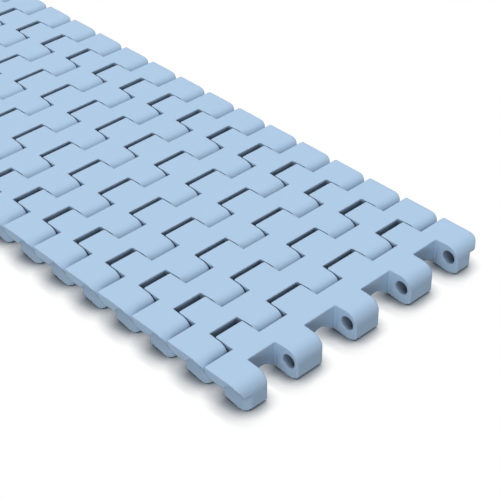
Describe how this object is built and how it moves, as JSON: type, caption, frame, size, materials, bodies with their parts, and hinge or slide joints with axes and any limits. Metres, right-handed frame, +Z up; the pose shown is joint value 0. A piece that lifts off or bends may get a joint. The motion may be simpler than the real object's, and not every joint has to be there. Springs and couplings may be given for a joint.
{
  "type": "modular plastic conveyor belt",
  "caption": "Length of flat-top modular plastic belt: full-width moulded rows with meshing knuckles, joined by plastic hinge rods so that it bends both ways.",
  "frame": {"origin": "on the surface that the belt lies on, under the middle of the stretch", "axes": "+X across the belt, +Y along the belt towards the end with the rear knuckles, +Z up out of the carrying surface"},
  "size_m": [0.1, 0.2646, 0.0093],
  "materials": {
    "belt_plastic": "light blue moulded acetal, fine satin texture",
    "rod_plastic": "light blue extruded plastic, smooth"
  },
  "bodies": {
    "row_01": {"belt_row_01": "belt_plastic"},
    "row_02": {"belt_row_02": "belt_plastic", "hinge_rod_01": "rod_plastic"},
    "row_03": {"belt_row_03": "belt_plastic", "hinge_rod_02": "rod_plastic"},
    "row_04": {"belt_row_04": "belt_plastic", "hinge_rod_03": "rod_plastic"},
    "row_05": {"belt_row_05": "belt_plastic", "hinge_rod_04": "rod_plastic"},
    "row_06": {"belt_row_06": "belt_plastic", "hinge_rod_05": "rod_plastic"},
    "row_07": {"belt_row_07": "belt_plastic", "hinge_rod_06": "rod_plastic"},
    "row_08": {"belt_row_08": "belt_plastic", "hinge_rod_07": "rod_plastic"},
    "row_09": {"belt_row_09": "belt_plastic", "hinge_rod_08": "rod_plastic"},
    "row_10": {"belt_row_10": "belt_plastic", "hinge_rod_09": "rod_plastic"},
    "row_11": {"belt_row_11": "belt_plastic", "hinge_rod_10": "rod_plastic"},
    "row_12": {"belt_row_12": "belt_plastic", "hinge_rod_11": "rod_plastic"},
    "row_13": {"belt_row_13": "belt_plastic", "hinge_rod_12": "rod_plastic"},
    "row_14": {"belt_row_14": "belt_plastic", "hinge_rod_13": "rod_plastic"},
    "row_15": {"belt_row_15": "belt_plastic", "hinge_rod_14": "rod_plastic"},
    "row_16": {"belt_row_16": "belt_plastic", "hinge_rod_15": "rod_plastic"},
    "row_17": {"belt_row_17": "belt_plastic", "hinge_rod_16": "rod_plastic"}
  },
  "joints": [
    {"name": "hinge_01", "type": "hinge", "parent": "row_02", "child": "row_01", "pos_m": [0, -0.11373, 0.0052], "axis": [1, 0, 0], "range_deg": [-20, 36]},
    {"name": "hinge_02", "type": "hinge", "parent": "row_03", "child": "row_02", "pos_m": [0, -0.09853, 0.0052], "axis": [1, 0, 0], "range_deg": [-20, 36]},
    {"name": "hinge_03", "type": "hinge", "parent": "row_04", "child": "row_03", "pos_m": [0, -0.08332, 0.0052], "axis": [1, 0, 0], "range_deg": [-20, 36]},
    {"name": "hinge_04", "type": "hinge", "parent": "row_05", "child": "row_04", "pos_m": [0, -0.06813, 0.0052], "axis": [1, 0, 0], "range_deg": [-20, 36]},
    {"name": "hinge_05", "type": "hinge", "parent": "row_06", "child": "row_05", "pos_m": [0, -0.05292, 0.0052], "axis": [1, 0, 0], "range_deg": [-20, 36]},
    {"name": "hinge_06", "type": "hinge", "parent": "row_07", "child": "row_06", "pos_m": [0, -0.03773, 0.0052], "axis": [1, 0, 0], "range_deg": [-20, 36]},
    {"name": "hinge_07", "type": "hinge", "parent": "row_08", "child": "row_07", "pos_m": [0, -0.02252, 0.0052], "axis": [1, 0, 0], "range_deg": [-20, 36]},
    {"name": "hinge_08", "type": "hinge", "parent": "row_09", "child": "row_08", "pos_m": [0, -0.00732, 0.0052], "axis": [1, 0, 0], "range_deg": [-20, 36]},
    {"name": "hinge_09", "type": "hinge", "parent": "row_09", "child": "row_10", "pos_m": [0, 0.00788, 0.0052], "axis": [1, 0, 0], "range_deg": [-36, 20]},
    {"name": "hinge_10", "type": "hinge", "parent": "row_10", "child": "row_11", "pos_m": [0, 0.02307, 0.0052], "axis": [1, 0, 0], "range_deg": [-36, 20]},
    {"name": "hinge_11", "type": "hinge", "parent": "row_11", "child": "row_12", "pos_m": [0, 0.03828, 0.0052], "axis": [1, 0, 0], "range_deg": [-36, 20]},
    {"name": "hinge_12", "type": "hinge", "parent": "row_12", "child": "row_13", "pos_m": [0, 0.05348, 0.0052], "axis": [1, 0, 0], "range_deg": [-36, 20]},
    {"name": "hinge_13", "type": "hinge", "parent": "row_13", "child": "row_14", "pos_m": [0, 0.06867, 0.0052], "axis": [1, 0, 0], "range_deg": [-36, 20]},
    {"name": "hinge_14", "type": "hinge", "parent": "row_14", "child": "row_15", "pos_m": [0, 0.08388, 0.0052], "axis": [1, 0, 0], "range_deg": [-36, 20]},
    {"name": "hinge_15", "type": "hinge", "parent": "row_15", "child": "row_16", "pos_m": [0, 0.09907, 0.0052], "axis": [1, 0, 0], "range_deg": [-36, 20]},
    {"name": "hinge_16", "type": "hinge", "parent": "row_16", "child": "row_17", "pos_m": [0, 0.11428, 0.0052], "axis": [1, 0, 0], "range_deg": [-36, 20]}
  ]
}
